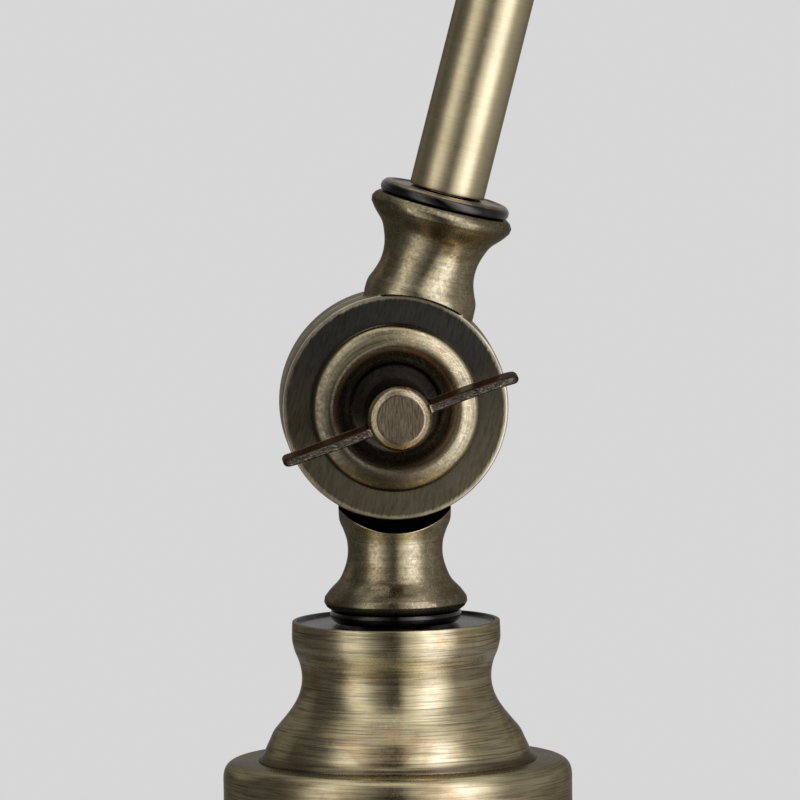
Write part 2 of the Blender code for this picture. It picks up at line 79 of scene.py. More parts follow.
class Graph:
    """A material's node tree, with short calls for the nodes the finishes use."""

    def __init__(self, name, tree=None):
        if tree is None:
            self.material = bpy.data.materials.new(name)
            self.material.use_nodes = True
            tree = self.material.node_tree
            tree.nodes.clear()
        self.tree = tree

    def node(self, kind, inputs=None, **settings):
        made = self.tree.nodes.new(f"ShaderNode{kind}")
        for key, value in settings.items():
            setattr(made, key, value)
        for key, value in (inputs or {}).items():
            if isinstance(value, bpy.types.NodeSocket):
                self.tree.links.new(value, made.inputs[key])
            else:
                made.inputs[key].default_value = value
        return made

    def math(self, operation, a, b=0.0, clamp=False):
        return self.node("Math", {0: a, 1: b}, operation=operation, use_clamp=clamp).outputs[0]

    def vector(self, operation, a, b=None, scale=None):
        inputs = {0: a}
        if b is not None:
            inputs[1] = b
        if scale is not None:
            inputs["Scale"] = scale
        made = self.node("VectorMath", inputs, operation=operation)
        return made.outputs["Value" if operation in ("LENGTH", "DOT_PRODUCT") else "Vector"]

    def join(self, x, y, z=0.0):
        return self.node("CombineXYZ", {0: x, 1: y, 2: z}).outputs[0]

    def split(self, vector):
        return self.node("SeparateXYZ", {0: vector}).outputs

    def mix(self, factor, a, b, blend="MIX"):
        return self.node("Mix", {0: factor, 6: a, 7: b}, data_type="RGBA", blend_type=blend).outputs[2]

    def span(self, value, low, high, to_low=0.0, to_high=1.0, shape="SMOOTHSTEP"):
        return self.node("MapRange", {0: value, 1: low, 2: high, 3: to_low, 4: to_high},
                         interpolation_type=shape).outputs[0]

    def noise(self, vector, scale, detail=2.0, rough=0.5, w=None, distortion=0.0):
        inputs = {"Vector": vector, "Scale": scale, "Detail": detail, "Roughness": rough,
                  "Distortion": distortion}
        if w is not None:
            inputs["W"] = w
        return self.node("TexNoise", inputs, noise_dimensions="3D" if w is None else "4D").outputs[0]

    def position(self):
        """Place on the piece at rest, in millimetres."""
        return self.vector("SCALE", self.node("TexCoord").outputs["Object"], scale=1 / MM)

    def edges(self, radius, low=0.02, high=0.3):
        """1 on convex and concave edges about radius mm wide, 0 on smooth faces."""
        soft = self.node("Bevel", {"Radius": radius * MM}, samples=4).outputs[0]
        flat = self.node("NewGeometry").outputs["Normal"]
        return self.span(self.math("SUBTRACT", 1.0, self.vector("DOT_PRODUCT", soft, flat)), low, high)

    def scratches(self, vector, scale, width, distortion=0.0):
        """Thin wandering lines."""
        field = self.noise(vector, scale, 1.0, 0.5, distortion=distortion)
        away = self.math("ABSOLUTE", self.math("SUBTRACT", field, 0.5))
        return self.span(away, 0.0, width, 1.0, 0.0)

    def finish(self, bump=None, bump_depth=0.02, bevel=None, **inputs):
        """Principled surface; bump is a height 0..1 worth bump_depth mm."""
        shader = self.node("BsdfPrincipled")
        for key, value in inputs.items():
            socket = shader.inputs[key.replace("_", " ")]
            if isinstance(value, bpy.types.NodeSocket):
                self.tree.links.new(value, socket)
            else:
                socket.default_value = value
        normal = None
        if bevel:
            normal = self.node("Bevel", {"Radius": bevel * MM}, samples=6).outputs[0]
        if bump is not None:
            settings = {"Strength": 1.0, "Distance": bump_depth * MM, "Height": bump}
            if normal is not None:
                settings["Normal"] = normal
            normal = self.node("Bump", settings).outputs[0]
        if normal is not None:
            self.tree.links.new(normal, shader.inputs["Normal"])
        out = self.node("OutputMaterial")
        self.tree.links.new(shader.outputs[0], out.inputs[0])
        return self.material


def colour(r, g, b):
    return (r, g, b, 1.0)


def turning(g, axis, place):
    """Radius, height and the two cross coordinates of a place about the axis."""
    x, y, z = g.split(place)
    u, v, h = (x, y, z) if axis == "Z" else (x, z, y)
    return g.vector("LENGTH", g.join(u, v)), h, u, v


def rings(g, about, fine, drift, detail=1.0):
    """Lines that run round an axis, fine of them to the millimetre, broken up slowly on the way round."""
    radius, height, u, v = about
    vector = g.join(g.math("MULTIPLY", radius, fine), g.math("MULTIPLY", height, fine),
                    g.math("MULTIPLY", u, drift))
    return g.noise(vector, 1.0, detail, 0.6, w=g.math("MULTIPLY", v, drift))


def around(g, axis):
    """World direction round the axis, for the grain of a turned surface."""
    place = g.node("TexCoord").outputs["Object"]
    along = (0, 0, 1) if axis == "Z" else (0, 1, 0)
    local = g.vector("CROSS_PRODUCT", along, place)
    return g.node("VectorTransform", {0: local}, vector_type="VECTOR", convert_from="OBJECT",
                  convert_to="WORLD").outputs[0]


LIGHT_BRASS, DULL_BRASS = (0.61, 0.525, 0.335), (0.32, 0.27, 0.16)
RED_BRASS, WORN_BRASS = (0.42, 0.27, 0.13), (0.84, 0.75, 0.54)
# SOOT_AND_SHADE is near black: real tarnish specks, and painted shade in crevices and recesses.
SOOT_AND_SHADE, GREY_FLOOR = colour(0.022, 0.019, 0.016), colour(0.10, 0.097, 0.088)


def brass(name, axis="Z", rough=0.25, lines=1.0, grain=0.6, tone=1.0, dull=0.5, red=0.3, wear=0.5,
          edge=0.35, highlight_band=None, recess_shade=None, rim=None, tarnish=0.0, scored=0.0, straight=False,
          shade_band=None, crevice=3.0):
    """Antique brass: fine lines, clouds of patina, a warm cast, worn edges, and dirt and painted shade in corners.

    highlight_band is a band of heights in mm with a painted highlight, lighter. shade_band is (height where it
    starts, height where it is full, strength) of painted shade. recess_shade and rim are radii between which
    the metal goes from black painted shade to clean, and from plain to worn bright. straight makes the lines
    run along v, with painted shade darkening the face towards its upper left, in place of turned lines.
    """
    g = Graph(name)
    place = g.position()
    about = turning(g, axis, place)
    radius, height, u, v = about
    if straight:
        stretched = g.join(g.math("MULTIPLY", u, 2.6), g.math("MULTIPLY", v, 0.3), height)
        fine = g.noise(stretched, 1.0, 4.0, 0.7)
        down = g.math("SUBTRACT", g.math("MULTIPLY", u, 0.2), v)
    else:
        fine = rings(g, about, 2.8, 0.075, 3.0)
    broad = rings(g, about, 0.5, 0.03, 2.0)
    clouds = g.noise(place, 0.05, 4.0, 0.6)
    specks = g.noise(place, 0.9, 4.0, 0.68)
    tint = g.noise(place, 0.085, 3.0, 0.55, distortion=0.8)
    shades = (LIGHT_BRASS, DULL_BRASS, RED_BRASS)
    light, dark, warm = (colour(*[c * tone for c in shade]) for shade in shades)
    patina = g.math("ADD", g.math("MULTIPLY", g.span(clouds, 0.4, 0.64), 0.6),
                    g.math("MULTIPLY", g.span(broad, 0.4, 0.66), 0.5 * lines), clamp=True)
    base = g.mix(g.math("MULTIPLY", patina, dull), light, dark)
    base = g.mix(g.math("MULTIPLY", g.span(tint, 0.5, 0.68), red), base, warm)
    # Painted highlight: a lighter band round the piece between the given heights.
    if highlight_band:
        start, end = highlight_band
        band = g.math("MULTIPLY", g.span(height, start, start + 2.5), g.span(height, end, end - 2.5))
        base = g.mix(g.math("MULTIPLY", band, 0.75), base, colour(0.88, 0.83, 0.67))
    if straight:
        # Painted shade: the face goes dark towards its upper left.
        thick = g.span(g.math("ADD", down, g.math("MULTIPLY", clouds, 12.0)), -14.0, 24.0, 0.9, 0.0)
        base = g.mix(thick, base, colour(0.043, 0.040, 0.037))
    streak = g.span(fine, 0.28, 0.62, 1.0 - 0.5 * lines, 1.0 + 0.1 * lines)
    base = g.mix(1.0, base, g.join(streak, streak, streak), "MULTIPLY")
    if tarnish:
        base = g.mix(g.math("MULTIPLY", g.span(specks, 0.42, 0.66), tarnish), base, SOOT_AND_SHADE)
    # Painted shade: darker brown over a band of heights, under a disc or above a foot.
    if shade_band:
        base = g.mix(g.span(height, *shade_band[:2], 0.0, shade_band[2]), base, colour(0.10, 0.075, 0.045))
    worn = g.math("MULTIPLY", g.edges(edge), g.span(specks, 0.34, 0.52))
    if rim:
        reach = g.math("ADD", radius, g.math("MULTIPLY", g.math("SUBTRACT", fine, 0.5), 1.2))
        bright = g.math("MULTIPLY", g.span(reach, *rim), g.span(clouds, 0.38, 0.6, 0.45, 1.0))
        worn = g.math("MAXIMUM", worn, bright)
    base = g.mix(g.math("MULTIPLY", worn, wear), base, colour(*WORN_BRASS))
    if scored:
        crossing = g.join(g.math("MULTIPLY", u, 0.5), v, g.math("MULTIPLY", height, 0.5))
        marks = g.scratches(crossing, 0.9, 0.02, 0.6)
        base = g.mix(g.math("MULTIPLY", marks, scored), base, colour(*WORN_BRASS))
    if recess_shade:
        # Painted shade: the ring darker towards its lower left.
        below = g.math("ADD", g.math("MULTIPLY", u, -0.6), g.math("MULTIPLY", v, -0.8))
        shaded_side = g.math("MULTIPLY", g.span(below, -8.0, 14.0), g.span(specks, 0.25, 0.6, 0.5, 0.9))
        base = g.mix(shaded_side, base, colour(0.12, 0.10, 0.075))
        # Painted shade: the recess's inner slope goes black, less far in on the lower side, which faces up; the
        # recess floor is dark grey.
        reach = g.math("SUBTRACT", radius, g.span(v, -8.0, 6.0, -2.2, 0.0))
        base = g.mix(g.span(reach, *recess_shade), g.mix(g.span(radius, 10.2, 11.2), GREY_FLOOR, SOOT_AND_SHADE), base)
    # Darker where ambient occlusion finds crevices and corners: partly dirt, partly painted shade.
    dirt_and_shade = g.node("AmbientOcclusion", {"Distance": crevice * MM}, samples=4).outputs["AO"]
    base = g.mix(g.span(dirt_and_shade, 0.2, 0.75), SOOT_AND_SHADE, base)
    roughness = g.math("ADD", g.math("MULTIPLY", g.math("SUBTRACT", fine, 0.5), 0.16 * lines),
                       g.span(specks, 0.3, 0.75, rough - 0.035, rough + 0.06))
    relief = g.math("ADD", g.math("MULTIPLY", fine, 0.6 * lines), g.math("MULTIPLY", specks, 0.5))
    return g.finish(relief, 0.008, edge, Base_Color=base, Metallic=1.0, Roughness=roughness,
                    Anisotropic=grain, Anisotropic_Rotation=0.25, Tangent=around(g, axis),
                    Specular_Tint=colour(0.4, 0.38, 0.34), Coat_Weight=0.2, Coat_Roughness=0.16)


def dark_turned(name, tone, rough, grain=0.4, rub=0.4, coat=0.4):
    """Dark lacquered bronze with turned lines and rubbed edges."""
    g = Graph(name)
    place = g.position()
    about = turning(g, "Z", place)
    fine = rings(g, about, 4.0, 0.08, 2.0)
    clouds = g.noise(place, 0.25, 3.0, 0.6)
    base = g.mix(g.span(clouds, 0.4, 0.65), colour(*tone), colour(*[c * 1.8 for c in tone]))
    rubbed = g.math("MULTIPLY", g.edges(0.3), g.span(clouds, 0.4, 0.6))
    base = g.mix(g.math("MULTIPLY", rubbed, rub), base, colour(0.46, 0.36, 0.23))
    roughness = g.span(fine, 0.3, 0.7, rough - 0.05, rough + 0.07)
    return g.finish(fine, 0.005, 0.25, Base_Color=base, Metallic=1.0, Roughness=roughness,
                    Anisotropic=grain, Anisotropic_Rotation=0.25, Tangent=around(g, "Z"),
                    Coat_Weight=coat, Coat_Roughness=0.12)


def cast_screw(name, s):
    """Wing screw: brushed head, cast wings with a scuffed grey edge and glossy brown sides, a painted highlight
    along their back edges, and worn edges partly painted as highlights.
    """
    g = Graph(name)
    place = g.position()
    radius, height, u, v = turning(g, "Z", place)
    grit = g.noise(place, 2.2, 4.0, 0.7)
    clouds = g.noise(place, 0.3, 3.0, 0.6)
    stretched = g.join(g.math("MULTIPLY", u, 0.35), g.math("MULTIPLY", v, 2.4), height)
    scuffs = g.scratches(stretched, 1.6, 0.03, 0.8)
    facing = g.node("VectorTransform", {0: g.node("NewGeometry").outputs["Normal"]},
                    vector_type="NORMAL", convert_from="WORLD", convert_to="OBJECT").outputs[0]
    ahead = g.split(facing)[2]
    out = g.span(radius, 8.3 * s, 9.0 * s)
    rim = g.math("MULTIPLY", g.span(ahead, 0.55, 0.9), out)
    face = g.math("MULTIPLY", g.span(height, 39.3 * s, 39.6 * s), g.span(radius, 6.1 * s, 5.8 * s))
    crown = g.math("MULTIPLY", g.span(height, 36.9 * s, 37.6 * s),
                   g.math("SUBTRACT", g.math("SUBTRACT", 1.0, out), face))
    brushed = g.noise(g.join(g.math("MULTIPLY", u, 2.6), g.math("MULTIPLY", v, 0.35), 0.0), 1.0, 4.0, 0.7)
    base = g.mix(clouds, colour(0.04, 0.025, 0.015), colour(0.14, 0.085, 0.05))
    base = g.mix(face, base, g.mix(g.span(brushed, 0.3, 0.66), colour(0.08, 0.062, 0.04),
                                   colour(0.27, 0.215, 0.145)))
    base = g.mix(g.math("MULTIPLY", crown, g.span(grit, 0.35, 0.6, 0.35, 1.0)), base,
                 colour(0.38, 0.32, 0.21))
    crest = g.math("MULTIPLY", g.edges(0.35), g.span(height, 38.4 * s, 39.3 * s))
    base = g.mix(g.math("MULTIPLY", crest, g.span(grit, 0.4, 0.55)), base, colour(*WORN_BRASS))
    # Painted highlight: a coppery band along the wings' back edges.
    back = g.math("MULTIPLY", g.span(height, 27.6 * s, 26.0 * s), out)
    base = g.mix(g.math("MULTIPLY", back, g.span(grit, 0.3, 0.5)), base, colour(0.42, 0.27, 0.16))
    grey = g.mix(g.span(grit, 0.35, 0.65), colour(0.02, 0.017, 0.014), colour(0.08, 0.068, 0.052))
    grey = g.mix(scuffs, grey, colour(0.5, 0.44, 0.36))
    base = g.mix(rim, base, grey)
    # Worn edges with painted highlights: copper towards the back, near white at the front.
    worn_and_glinting_edge = g.math("MULTIPLY", g.edges(0.4), out)
    base = g.mix(g.math("MULTIPLY", worn_and_glinting_edge, g.span(grit, 0.4, 0.55)), base,
                 g.mix(g.span(height, 30.0 * s, 36.0 * s), colour(0.62, 0.43, 0.26),
                       colour(0.85, 0.80, 0.72)))
    roughness = g.math("ADD", g.span(clouds, 0.3, 0.7, 0.15, 0.25),
                       g.math("ADD", g.math("MULTIPLY", out, 0.27), g.math("MULTIPLY", face, 0.12)))
    relief = g.math("ADD", g.math("MULTIPLY", grit, g.math("ADD", rim, 0.2)),
                    g.math("MULTIPLY", brushed, face))
    return g.finish(relief, 0.03, None, Base_Color=base, Metallic=1.0, Roughness=roughness,
                    Specular_Tint=colour(0.3, 0.25, 0.2), Coat_Weight=0.1, Coat_Roughness=0.15)


def grained(name, low, high, rough, scale=1.0, metallic=0.0, depth=0.03, detail=4.0, **extra):
    """Plain procedural finish: mottled colour, uneven sheen and fine relief."""
    g = Graph(name)
    place = g.position()
    grain = g.noise(place, scale, detail, 0.65)
    patch = g.noise(place, scale * 0.07, 3.0, 0.55)
    base = g.mix(g.span(grain, 0.3, 0.7), colour(*low), colour(*high))
    base = g.mix(g.math("MULTIPLY", g.span(patch, 0.4, 0.7), 0.4), base, colour(*low))
    roughness = g.span(g.math("ADD", grain, patch), 0.6, 1.4, rough - 0.06, rough + 0.08)
    return g.finish(grain, depth, None, Base_Color=base, Metallic=metallic, Roughness=roughness, **extra)


def braided(name):
    """Woven sleeve of the lead."""
    g = Graph(name)
    x, y, z = g.split(g.position())
    twist = g.math("ADD", g.math("MULTIPLY", x, 5.0), g.math("MULTIPLY", z, 4.0))
    cross = g.math("SUBTRACT", g.math("MULTIPLY", y, 5.0), g.math("MULTIPLY", z, 4.0))
    weave = g.math("MULTIPLY", g.math("SINE", twist), g.math("SINE", cross))
    base = g.mix(g.span(weave, -0.6, 0.6), colour(0.22, 0.15, 0.05), colour(0.55, 0.41, 0.17))
    return g.finish(weave, 0.08, None, Base_Color=base, Roughness=0.7, Sheen_Weight=0.3)


TURNED = brass("brass_turned", grain=0.7, dull=0.6, red=0.4, crevice=4.0)
# The bell: painted highlight round its upper waist, painted shade above its foot.
BELL_FINISH = brass("brass_bell", lines=1.15, grain=0.7, dull=0.6, red=0.5, highlight_band=(65.0, 72.5),
                    shade_band=(45.4, 42.4, 0.85))
TUBE = brass("brass_tube", rough=0.31, lines=0.2, grain=0.2, dull=0.3, red=0.1, wear=0.0)
# The necks: painted shade on the flange at the neck's foot, under the disc.
NECK_FINISH = brass("brass_neck", rough=0.26, lines=0.6, grain=0.4, tone=0.8, dull=0.8, red=0.65,
                    wear=0.8, tarnish=0.35, scored=0.35, shade_band=(41.5, 46.5, 0.5))
# The disc face: painted shade towards its upper left, its rim worn bright.
DISC_FINISH = brass("brass_disc", "Y", 0.33, 0.8, 0.0, tone=0.245, dull=0.5, red=0.3, wear=0.65, edge=0.6,
                    rim=(26.9, 27.6), tarnish=0.15, straight=True, crevice=1.2)
# The clamp ring: painted shade in its recess and on its lower left side.
RING_FINISH = brass("brass_ring", rough=0.28, lines=0.9, grain=0.3, tone=0.82, dull=0.7, red=0.35, wear=0.7,
                    edge=0.2, recess_shade=(11.2, 13.6), tarnish=0.25, scored=0.5, crevice=1.2)
SHADE_FINISH = brass("brass_shade", grain=0.6, dull=0.5, red=0.25)
CHECK_FINISH = dark_turned("bronze_ring", (0.028, 0.025, 0.022), 0.13, rub=0.1)
BEAD_FINISH = dark_turned("bronze_bead", (0.2, 0.15, 0.09), 0.24, rub=0.8)
NUT_FINISH = dark_turned("bronze_nut", (0.17, 0.13, 0.085), 0.25)
# Dark grey for the bell's top face.
WELL_FINISH = dark_turned("dark_well", (0.05, 0.048, 0.045), 0.3, rub=0.0)
# Near black for faces in gaps and bores: partly grime, partly painted shade.
SHADE_AND_GRIME_BLACK = dark_turned("shade_and_grime_black", (0.006, 0.005, 0.005), 0.6, rub=0.0, coat=0.0)
ENAMEL = grained("shade_enamel", (0.74, 0.72, 0.66), (0.80, 0.78, 0.73), 0.32, 0.6, depth=0.02,
                 Coat_Weight=0.3, Coat_Roughness=0.2)
GLASS = grained("frosted_glass", (0.90, 0.89, 0.85), (0.95, 0.94, 0.91), 0.5, 2.5, depth=0.01,
                Transmission_Weight=0.35, IOR=1.45)
FINISHES = {
    "antique_brass": TURNED,
    "dark_bronze": NUT_FINISH,
    "steel": grained("zinc_steel", (0.38, 0.38, 0.37), (0.58, 0.58, 0.56), 0.34, 1.6, 1.0, 0.01),
    "cast_iron": grained("cast_iron", (0.035, 0.034, 0.033), (0.075, 0.072, 0.07), 0.68, 1.1, 0.6, 0.12),
    "felt": grained("base_felt", (0.012, 0.022, 0.017), (0.05, 0.07, 0.058), 0.92, 3.2, 0.0, 0.25,
                    Sheen_Weight=0.5),
    "fibre": grained("red_fibre", (0.16, 0.045, 0.03), (0.30, 0.10, 0.06), 0.75, 1.8),
    "black_plastic": grained("black_plastic", (0.012, 0.012, 0.012), (0.028, 0.027, 0.026), 0.42, 2.4,
                             0.0, 0.02),
    "ceramic": grained("ceramic", (0.72, 0.70, 0.64), (0.82, 0.80, 0.75), 0.3, 0.9, 0.0, 0.02),
    "frosted_glass": GLASS,
    "wire_sleeve": braided("wire_sleeve"),
}

# ------------------------------------------------------------------ shapes


def corners(profile, closed):
    """Each (r, h, corner radius) of a profile becomes an arc; points without a radius stay sharp."""
    out, count = [], len(profile)
    for i, point in enumerate(profile):
        here, radius = np.array(point[:2], float), (point[2] if len(point) > 2 else 0.0)
        if not radius or (not closed and i in (0, count - 1)):
            out.append(here)
            continue
        before = np.array(profile[i - 1][:2], float) - here
        after = np.array(profile[(i + 1) % count][:2], float) - here
        room = 0.45 * min(np.linalg.norm(before), np.linalg.norm(after))
        before, after = before / np.linalg.norm(before), after / np.linalg.norm(after)
        half = math.acos(max(-1.0, min(1.0, float(before @ after)))) / 2
        cut = min(radius / math.tan(half), room)
        steps = max(4, int(math.degrees(math.pi - 2 * half) / 11))
        for t in np.linspace(0, 1, steps + 1):
            out.append(here + cut * (before * (1 - t) ** 2 + after * t ** 2))
    return out


def flowing(points, per=7):
    """Smooth curve through points, per steps between each two."""
    pts = [np.array(p, float) for p in points]
    pts = [2 * pts[0] - pts[1], *pts, 2 * pts[-1] - pts[-2]]
    out = []
    for a, b, c, d in zip(pts, pts[1:], pts[2:], pts[3:]):
        for k in range(per):
            t = k / per
            out.append(0.5 * (2 * b + (c - a) * t + (2 * a - 5 * b + 4 * c - d) * t * t
                              + (3 * b - a - 3 * c + d) * t ** 3))
    return [tuple(p) for p in out] + [tuple(pts[-2])]


def lathe(profile, steps=192, closed=True, flutes=None):
    """Vertices in metres and faces of a profile turned about Z. flutes is (count, depth, low, high)."""
    points = corners(profile, closed)
    angles = np.linspace(0, 2 * math.pi, steps, endpoint=False)
    verts, rows = [], []
    for r, h in points:
        if r < 1e-6:
            rows.append([len(verts)])
            verts.append((0.0, 0.0, h * MM))
            continue
        radii = np.full(steps, float(r))
        if flutes and flutes[2] <= h <= flutes[3]:
            radii -= flutes[1] * (0.5 + 0.5 * np.cos(angles * flutes[0])) ** 2
        rows.append(list(range(len(verts), len(verts) + steps)))
        verts += [(q * math.cos(a) * MM, q * math.sin(a) * MM, h * MM) for q, a in zip(radii, angles)]
    faces = []
    for low, high in zip(rows, rows[1:] + (rows[:1] if closed else [])):
        for j in range(steps):
            k = (j + 1) % steps
            if len(low) > 1 and len(high) > 1:
                faces.append((low[j], low[k], high[k], high[j]))
            elif len(high) > 1:
                faces.append((low[0], high[k], high[j]))
            elif len(low) > 1:
                faces.append((low[j], low[k], high[0]))
    return verts, faces


def moved(shape, matrix):
    """A shape with its vertices put through a matrix."""
    verts, faces = shape
    return [tuple(matrix @ Vector(v)) for v in verts], faces


def raised(profile, height):
    """A profile lifted by a height."""
    return [(p[0], p[1] + height, *p[2:]) for p in profile]


def scaled(profile, s):
    """A profile with its sizes and corner radii times s."""
    return [tuple(v * s for v in p) for p in profile]


def temporary(shape):
    """A helper object that holds a shape while modifiers work on it."""
    mesh = bpy.data.meshes.new("shape")
    mesh.from_pydata(shape[0], [], shape[1])
    obj = bpy.data.objects.new("shape", mesh)
    scene.collection.objects.link(obj)
    return obj


def baked(obj, *others):
    """The evaluated mesh of a helper object as a shape; the helpers are removed."""
    mesh = bpy.data.meshes.new_from_object(obj.evaluated_get(bpy.context.evaluated_depsgraph_get()))
    shape = [tuple(v.co) for v in mesh.vertices], [tuple(p.vertices) for p in mesh.polygons]
    bpy.data.meshes.remove(mesh)
    for helper in (obj, *others):
        bpy.data.objects.remove(helper, do_unlink=True)
    return shape


def cut(shape, *cutters):
    """A shape with the cutters' volumes taken away."""
    obj = temporary(shape)
    helpers = [temporary(cutter) for cutter in cutters]
    for helper in helpers:
        step = obj.modifiers.new("Cut", "BOOLEAN")
        step.operation = "DIFFERENCE"
        step.object = helper
    bpy.context.view_layer.update()
    return baked(obj, *helpers)


def fused(shapes, voxel, passes):
    """Overlapping shapes melted into one cast body with soft inner corners."""
    verts, faces = [], []
    for more, polys in shapes:
        faces += [tuple(i + len(verts) for i in poly) for poly in polys]
        verts += more
    obj = temporary((verts, faces))
    melt = obj.modifiers.new("Melt", "REMESH")
    melt.mode = "VOXEL"
    melt.voxel_size = voxel * MM
    ease = obj.modifiers.new("Ease", "SMOOTH")
    ease.factor = 0.5
    ease.iterations = passes
    bpy.context.view_layer.update()
    return baked(obj)


SHARP_ANGLE = math.radians(32)


def piece(name, body, at, parts, stands_for):
    """One shown object from (shape, material) parts, riding on a body in place of its CAD nodes."""
    mesh = bpy.data.meshes.new(name)
    verts, faces, marks = [], [], []
    for number, ((more, polys), mat) in enumerate(parts):
        faces += [tuple(i + len(verts) for i in poly) for poly in polys]
        marks += [number] * len(polys)
        verts += more
        mesh.materials.append(mat)
    mesh.from_pydata(verts, [], faces)
    mesh.polygons.foreach_set("material_index", marks)
    mesh.polygons.foreach_set("use_smooth", [True] * len(faces))
    mesh.set_sharp_from_angle(angle=SHARP_ANGLE)
    obj = bpy.data.objects.new(name, mesh)
    scene.collection.objects.link(obj)
    obj.matrix_world = at
    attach(obj, body)
    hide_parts(*([stands_for] if isinstance(stands_for, str) else stands_for))
    return obj


# -------------------------------------------------------------------- base

tier = [(45.7, 25.0, 1.6), (43.7, 27.6, 1.5)] + flowing(
    [(43.7, 36.0), (43.7, 38.0), (43.4, 39.7), (42.6, 41.0), (41.3, 41.8), (40.0, 42.0)], 5) + [(5.6, 42.0)]
skirt = [(140.0, 1.0), (140.0, 8.0, 1.5)] + flowing(
    [(139.4, 10.4), (138.0, 12.6), (132.0, 14.7), (116.0, 17.4), (85.0, 20.4), (52.0, 23.8)], 6)
hollow = [(5.6, 40.4), (39.3, 40.4), (41.2, 39.7), (42.0, 37.6), (42.0, 27.2), (44.0, 23.8), (51.8, 22.6),
          (84.8, 19.7), (115.7, 16.6), (131.4, 13.8), (136.8, 11.6), (138.4, 7.8), (138.4, 1.0)]
piece("look_base_cover", "base", BASE, [(lathe(skirt + tier + hollow, 288), TURNED)], "base_cover")

bell = [(34.9, 0.0)] + flowing(
    [(34.8, 0.35), (33.6, 1.5), (32.8, 3.3), (32.0, 5.0), (30.85, 7.4), (28.8, 9.9), (26.8, 12.4),
     (25.2, 14.9), (24.2, 17.4), (23.74, 19.9), (23.84, 22.4), (24.4, 24.9), (25.4, 27.4),
     (26.05, 30.0), (26.1, 32.4)], 7) + [(26.0, 35.0, 0.4), (24.9, 35.0, 0.15)]
well = [(24.9, 35.0), (24.7, 34.2, 0.1), (5.5, 34.2)]
bore = [(5.5, 34.2), (5.5, 28.6), (20.4, 28.6), (20.4, 20.0), (22.0, 14.5), (30.2, 0.0), (34.9, 0.0)]
BELL_FOOT = 42.03
piece("look_bell_collar", "base", BASE,
      [(lathe(raised(outline, BELL_FOOT), 288, closed=False), finish)
       for outline, finish in ((bell, BELL_FINISH), (well, WELL_FINISH), (bore, SHADE_AND_GRIME_BLACK))], "bell_collar")
gland = [(3.3, -141.9, 0.4), (7.4, -141.9, 0.5), (8.0, -141.2, 0.2), (8.0, -140.3), (5.8, -140.3),
         (5.8, -134.6), (5.2, -134.0), (3.3, -134.0)]
piece("look_cord_gland", "base", Matrix.Translation((0, 0, 0.011)) @ FRONT,
      [(lathe(gland, 64), FINISHES["black_plastic"])], "cord_gland")

# --------------------------------------------------------------- knuckles

DISC_R, DISC_T, HALF_GAP, FOOT, SEAT = 28.3, 9.5, 0.45, 51.3, 54.85
SADDLE_R, SADDLE_DROP = 21.6, 9.7
NECK = [(14.1, 26.0), (13.9, 29.0), (12.9, 31.5), (12.1, 34.0), (11.85, 36.5), (12.1, 39.0),
        (12.85, 41.5), (14.05, 44.0), (16.3, 46.4), (17.75, 48.3)]
WING_PATH = [(-29.0, -10.9), (-26.2, -10.2), (-20.2, -8.1), (-13.0, -5.6), (-6.0, -2.9),
             (6.0, 1.6), (13.0, 4.2), (19.0, 6.3), (25.5, 8.4), (29.6, 9.4)]
WING_T, WING_FRONT, WING_BACK, WING_REACH = 2.5, 37.9, 23.4, 29.6
WING_CORNER, WING_TIP, WING_SQUARE, WING_SIDES = 3.0, 1.1, 0.34, 32


def neck(s, side):
    """Spool-shaped neck along Z, cut round for its own disc and hollowed for the other half's."""
    steps = 176 if s == LOWER else 112
    outline = [(0, 12), (13.9, 12)] + flowing(NECK) + [(17.95, 49.6, 0.7), (17.3, 50.7, 0.6), (16.5, FOOT),
                                                       (0, FOOT)]
    body = lathe(scaled(outline, s), steps, closed=False)
    thick = DISC_T * s
    across = Matrix.Rotation(math.pi / 2, 4, "X") @ Matrix.Rotation(0.0131, 4, "Z")

    def drum(radius, low, high, up=0.0):
        ends = sorted((side * low, side * high))
        return moved(lathe([(0, ends[0]), (radius, ends[0]), (radius, ends[1]), (0, ends[1])], 256,
                           closed=False), Matrix.Translation((0, 0, up * MM)) @ across)

    verts, faces = cut(body, drum((DISC_R + 0.25) * s, thick - 0.37, thick + 14),
                       drum(SADDLE_R * s, -24, HALF_GAP + 0.3, SADDLE_DROP * s))
    points = np.array(verts) / MM
    off = np.abs(np.hypot(points[:, 0], points[:, 2] - SADDLE_DROP * s) - SADDLE_R * s)

    # Faces in the gap between the halves and inside the disc get near black: grime and painted shade.
    def hidden(face):
        corner = points[list(face)]
        level = np.ptp(corner[:, 1]) < 0.01 and abs(corner[0, 1]) < 1.0
        return level or off[list(face)].max() < 0.02 or corner[:, 2].max() < 25.0 * s

    marks = [hidden(face) for face in faces]
    return ((verts, [f for f, mark in zip(faces, marks) if not mark]),
            (verts, [f for f, mark in zip(faces, marks) if mark]))


def casting(s, side):
    """One knuckle half's parts: neck, the neck's faces hidden in the gap, near black as grime and painted shade,
    and disc.
    """
    disc = [(0, HALF_GAP), (DISC_R * s, HALF_GAP, 0.25), (DISC_R * s, DISC_T * s, 0.62), (0, DISC_T * s)]
    shape = lathe(disc, 224, closed=False)
    turn = FRONT if side > 0 else Matrix.Rotation(-math.pi / 2, 4, "X")
    outer, inner = neck(s, side)
    return [(outer, NECK_FINISH), (inner, SHADE_AND_GRIME_BLACK), (moved(shape, turn), DISC_FINISH)]


